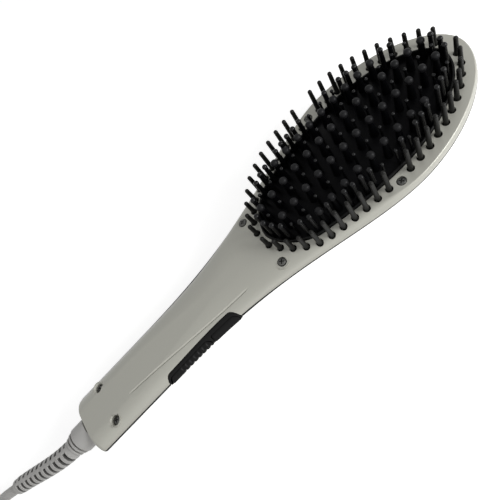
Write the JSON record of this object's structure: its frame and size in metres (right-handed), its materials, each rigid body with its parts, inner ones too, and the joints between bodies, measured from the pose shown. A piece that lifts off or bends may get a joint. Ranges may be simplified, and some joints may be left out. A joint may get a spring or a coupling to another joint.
{
  "type": "hair straightening brush",
  "caption": "Corded heated paddle brush with a crowned black plate of capped teeth, fine pins and rim bristles in a silver housing, side controls and a swivelling cord outlet.",
  "frame": {"origin": "Under the middle of the brush, measured from the outer end of the cord collar to the tip of the head, on the plane that its back lies on.", "axes": "+X from the handle to the tip of the head, +Z out of the bristle side, -Y towards the side with the controls."},
  "size_m": [0.4707, 0.121, 0.0414],
  "materials": {
    "housing": "satin silver lacquer on plastic",
    "plate_coating": "dark glazed coating on cast metal",
    "nylon": "plain black nylon",
    "black_plastic": "fine moulded texture",
    "dark_steel": "blackened zinc",
    "bright_steel": "plain bright",
    "brass": "plain",
    "ceramic": "unglazed white",
    "mica": "flaky sheet",
    "board": "solder mask",
    "component": "moulded epoxy",
    "lead": "silicone insulation",
    "cord_plastic": "soft satin jacket"
  },
  "bodies": {
    "root": {"board_screw_1": "bright_steel", "board_screw_2": "bright_steel", "clamp_screw_1": "bright_steel", "clamp_screw_2": "bright_steel", "contact_block": "component", "contact_spring_1": "brass", "contact_spring_2": "brass", "control_bezel": "black_plastic", "control_board": "board", "control_chip": "component", "film_capacitor": "component", "front_shell": "housing", "heat_shield": "mica", "heater_clamp": "bright_steel", "heater_element": "ceramic", "heater_insulation": "mica", "heater_lead_1": "ceramic", "heater_lead_2": "ceramic", "heating_plate": "plate_coating", "housing_screw_1": "dark_steel", "housing_screw_2": "dark_steel", "housing_screw_3": "dark_steel", "housing_screw_4": "dark_steel", "housing_screw_5": "dark_steel", "housing_screw_6": "dark_steel", "mains_fuse": "bright_steel", "mains_lead_1": "lead", "mains_lead_2": "lead", "pin_carrier": "nylon", "plate_surround": "black_plastic", "rear_shell": "housing", "rim_bristles_neck": "nylon", "rim_bristles_tip": "nylon", "rocker_pin": "bright_steel", "sensor_lead": "component", "smoothing_capacitor": "component", "switch_board": "board", "switch_lead": "component", "tact_switch_1": "component", "tact_switch_2": "component", "tact_switch_3": "component", "temperature_sensor": "component", "thermal_fuse": "bright_steel", "triac": "component", "wire_connector": "ceramic"},
    "swivel": {"swivel_collar": "cord_plastic", "slip_ring_1": "brass", "slip_ring_2": "brass", "strain_relief": "cord_plastic", "power_cord": "cord_plastic", "cord_coil": "cord_plastic", "cord_tie": "black_plastic", "plug_lead": "cord_plastic", "plug_body": "cord_plastic", "plug_pin_1": "brass", "plug_pin_2": "brass"},
    "power_button": {"power_button": "black_plastic"},
    "temperature_rocker": {"temperature_rocker": "black_plastic"}
  },
  "joints": [
    {"name": "button_press", "type": "slide", "parent": "root", "child": "power_button", "axis": [0, 1, 0], "range_m": [0, 0.0006], "stiffness_N_per_m": 600},
    {"name": "rocker_tilt", "type": "hinge", "parent": "root", "child": "temperature_rocker", "pos_m": [-0.06385, -0.0098, 0.018], "axis": [0, 0, 1], "range_deg": [-2.2, 2.2], "stiffness_Nm_per_rad": 0.05},
    {"name": "cord_swivel", "type": "hinge", "parent": "root", "child": "swivel", "pos_m": [-0.13075, 0, 0.017], "axis": [1, 0, 0], "continuous": true}
  ]
}
